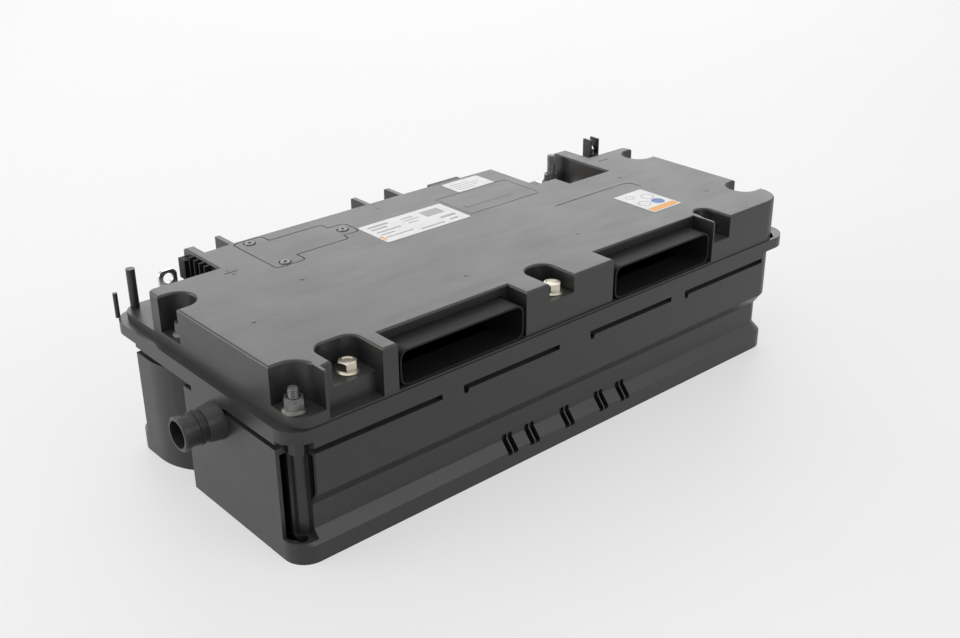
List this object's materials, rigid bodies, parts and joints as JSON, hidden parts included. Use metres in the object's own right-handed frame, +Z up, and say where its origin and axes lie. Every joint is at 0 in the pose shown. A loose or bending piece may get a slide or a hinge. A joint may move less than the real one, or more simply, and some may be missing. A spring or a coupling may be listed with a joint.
{
  "type": "mild hybrid battery",
  "caption": "Long low traction battery case with a ribbed moulded cover, two front air ports, a gas vent pipe, open terminal pockets and a bolted service plate.",
  "frame": {"origin": "middle of the case's footprint, on the flat underside", "axes": "+X runs along the long front towards the end with the negative terminal, +Y from the front with the air ports to the rear, +Z up"},
  "size_m": [0.5785, 0.26, 0.154],
  "materials": {
    "case_plastic": "satin moulded glass-filled nylon, fine grain",
    "cover_plastic": "satin moulded glass-filled nylon, fine grain",
    "duct_plastic": "satin blow-moulded plastic",
    "clip_plastic": "satin moulded plastic",
    "inner_plastic": "matt moulded plastic",
    "zinc_steel": "pale yellowish zinc plating",
    "dark_steel": "dark grey zinc-nickel plating",
    "bright_steel": "bright plated steel",
    "brass": "plain brass",
    "copper": "bare copper",
    "tinned_copper": "bright tin plating",
    "fuse_ceramic": "pale ceramic with metal blades",
    "seal_rubber": "matt silicone rubber",
    "pad_rubber": "grey gap-filling pad",
    "cell_can": "aluminium cans in blue film",
    "plate_metal": "plain pressed aluminium",
    "board_green": "green solder mask",
    "label_film": "white film with plain orange fields"
  },
  "bodies": {
    "root": {"air_sleeve_left": "duct_plastic", "air_sleeve_right": "duct_plastic", "board_components": "inner_plastic", "board_screws": "zinc_steel", "busbar_frame": "inner_plastic", "cell_01": "cell_can", "cell_02": "cell_can", "cell_03": "cell_can", "cell_04": "cell_can", "cell_05": "cell_can", "cell_06": "cell_can", "cell_07": "cell_can", "cell_08": "cell_can", "cell_09": "cell_can", "cell_10": "cell_can", "cell_11": "cell_can", "cell_12": "cell_can", "cell_13": "cell_can", "cell_14": "cell_can", "cell_busbars": "copper", "cell_pad": "pad_rubber", "cell_spacers": "inner_plastic", "clip_bolt": "bright_steel", "cover_limiters": "zinc_steel", "cover_seal": "seal_rubber", "current_sensor": "inner_plastic", "end_nuts": "zinc_steel", "end_plate_left": "plate_metal", "end_plate_right": "plate_metal", "end_studs": "dark_steel", "flange_inserts": "brass", "floor_screws": "zinc_steel", "front_cover_bolts": "zinc_steel", "fuse_base": "inner_plastic", "fuse_nuts": "zinc_steel", "fuse_studs": "zinc_steel", "gas_duct": "duct_plastic", "harness_clip": "clip_plastic", "label_main": "label_film", "label_rear": "label_film", "label_side": "label_film", "lower_case": "case_plastic", "main_fuse": "fuse_ceramic", "main_relay": "inner_plastic", "management_board": "board_green", "negative_bus": "tinned_copper", "negative_link": "copper", "negative_nut": "dark_steel", "negative_stud": "dark_steel", "positive_bus": "tinned_copper", "positive_link": "copper", "rear_cover_bolts": "zinc_steel", "relay_link": "copper", "relay_nuts": "zinc_steel", "service_cover": "cover_plastic", "service_screws": "dark_steel", "side_straps": "zinc_steel", "signal_socket": "inner_plastic", "top_cover": "cover_plastic"}
  },
  "joints": []
}
